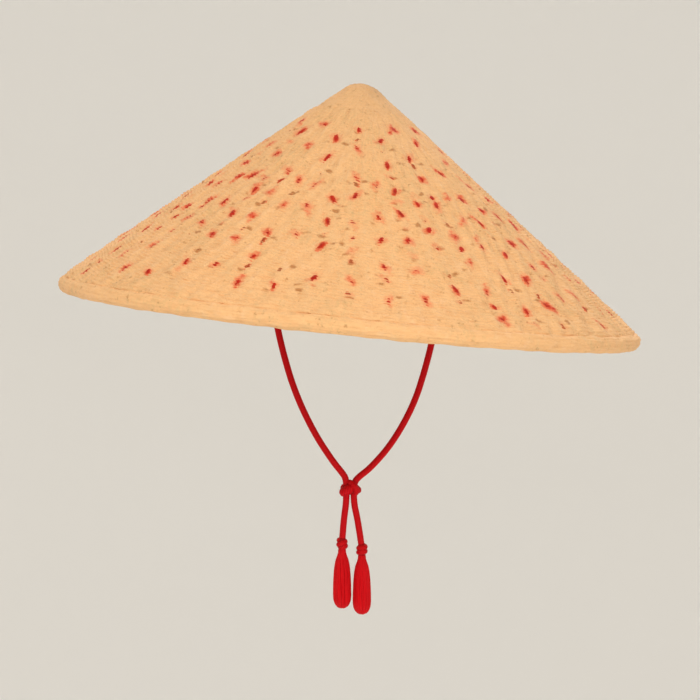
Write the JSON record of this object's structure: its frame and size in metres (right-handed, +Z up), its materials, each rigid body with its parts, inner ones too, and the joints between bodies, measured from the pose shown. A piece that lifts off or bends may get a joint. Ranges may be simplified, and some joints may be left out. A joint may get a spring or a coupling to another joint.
{
  "type": "conical hat",
  "caption": "Conical woven straw hat with a rolled rim, dyed ribs, an inner head band and a red chin cord that a slide knot draws up, ending in two thread tassels.",
  "frame": {"origin": "centre of the head ring, where the hat sits on a head", "axes": "+Z up along the hat's axis, -Y to the front, +X to the wearer's left; the head enters from -Z"},
  "size_m": [0.4299, 0.43, 0.3911],
  "materials": {
    "straw": "matte",
    "straw_binding": "matte",
    "dyed_rib": "matte",
    "bamboo": "satin",
    "band_weave": "matte",
    "rattan": "satin",
    "cotton": "matte",
    "brass": "satin",
    "red_cord": "matte",
    "red_thread": "satin"
  },
  "bodies": {
    "hat": {"crown_tip": "straw", "straw_row_01": "straw", "straw_row_02": "straw", "straw_row_03": "straw", "straw_row_04": "straw", "straw_row_05": "straw", "straw_row_06": "straw", "straw_row_07": "straw", "straw_row_08": "straw", "straw_row_09": "straw", "straw_row_10": "straw", "straw_row_11": "straw", "straw_row_12": "straw", "straw_row_13": "straw", "straw_row_14": "straw", "straw_row_15": "straw", "straw_row_16": "straw", "rim_binding": "straw_binding", "primary_ribs": "dyed_rib", "secondary_ribs": "dyed_rib", "tertiary_ribs": "dyed_rib", "lower_hoop": "bamboo", "middle_hoop": "bamboo", "upper_hoop": "bamboo", "apex_hoop": "bamboo", "rim_hoop": "bamboo", "head_band": "band_weave", "head_ring": "rattan", "sweatband": "cotton", "left_cord_tab": "cotton", "left_eyelet": "brass", "right_cord_tab": "cotton", "right_eyelet": "brass"},
    "chin_cord": {"left_cord": "red_cord", "left_stopper_knot": "red_cord", "left_end_knot": "red_cord", "right_cord": "red_cord", "right_stopper_knot": "red_cord", "right_end_knot": "red_cord"},
    "slide_knot": {"slide_knot": "red_cord"},
    "left_tassel": {"left_tassel_neck": "red_thread", "left_tassel_skirt": "red_thread"},
    "right_tassel": {"right_tassel_neck": "red_thread", "right_tassel_skirt": "red_thread"}
  },
  "joints": [
    {"name": "cord_swing", "type": "hinge", "parent": "hat", "child": "chin_cord", "pos_m": [0, 0, -0.014], "axis": [1, 0, 0], "range_deg": [-70, 70]},
    {"name": "knot_slide", "type": "slide", "parent": "chin_cord", "child": "slide_knot", "axis": [-0.1021, 0, 0.9948], "range_m": [-0.018, 0.07], "deforming": ["left_cord", "right_cord"]},
    {"name": "left_tassel_swing", "type": "hinge", "parent": "chin_cord", "child": "left_tassel", "pos_m": [0.0121, 0, -0.23925], "axis": [1, 0, 0], "range_deg": [-60, 60]},
    {"name": "right_tassel_swing", "type": "hinge", "parent": "chin_cord", "child": "right_tassel", "pos_m": [0.02731, 0, -0.24225], "axis": [1, 0, 0], "range_deg": [-60, 60]}
  ]
}
